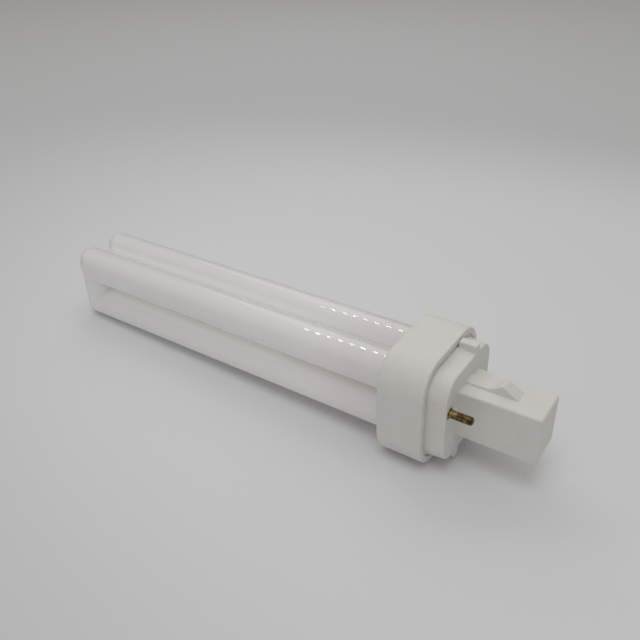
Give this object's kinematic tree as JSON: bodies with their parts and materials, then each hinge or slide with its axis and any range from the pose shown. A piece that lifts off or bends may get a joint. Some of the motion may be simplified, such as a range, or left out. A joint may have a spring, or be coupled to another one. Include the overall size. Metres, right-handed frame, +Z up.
{
  "type": "double tube compact fluorescent lamp",
  "caption": "Compact fluorescent lamp of parallel folded white glass tubes in a square collar, with side contact pins and a starter block that plugs into a holder.",
  "frame": {"origin": "on the lamp's long axis, in the plane of the cap's seating face, at the foot of the starter block", "axes": "+X out of the cap along the starter block, the way the lamp leaves its holder's well reversed, -X along the glass legs, +Z up as the lamp lies on its side, +Y to its left seen along +X"},
  "size_m": [0.172, 0.0344, 0.0344],
  "materials": {
    "tube_glass": "glossy clear glass over a white phosphor coat, opaque",
    "cap_plastic": "satin moulded thermoplastic polyester, warm white",
    "cement": "dull cured basing cement",
    "pin_brass": "drawn brass, dulled with age",
    "starter_glass": "clear glass",
    "strip_metal": "rolled bimetal strip",
    "wire_metal": "tinned wire",
    "capacitor_resin": "dipped resin, dark red",
    "sleeve_plastic": "woven glass sleeve, off white",
    "splice_metal": "tin plated crimp"
  },
  "bodies": {
    "root": {"discharge_tube": "tube_glass", "collar": "cap_plastic", "cap_base": "cap_plastic", "basing_cement": "cement", "contact_pin_front": "pin_brass", "contact_pin_rear": "pin_brass", "starter_bulb": "starter_glass", "starter_bimetal_strip": "strip_metal", "starter_fixed_post": "wire_metal", "starter_strip_post": "wire_metal", "capacitor_body": "capacitor_resin", "capacitor_lead_front": "wire_metal", "capacitor_lead_rear": "wire_metal", "tube_to_pin_lead_front": "wire_metal", "tube_to_pin_lead_rear": "wire_metal", "tube_to_starter_lead_front": "wire_metal", "tube_to_starter_lead_rear": "wire_metal", "pin_lead_sleeve_front": "sleeve_plastic", "pin_lead_sleeve_rear": "sleeve_plastic", "starter_lead_sleeve_front": "sleeve_plastic", "starter_lead_sleeve_rear": "sleeve_plastic", "splice_front": "splice_metal", "splice_rear": "splice_metal"}
  },
  "joints": []
}
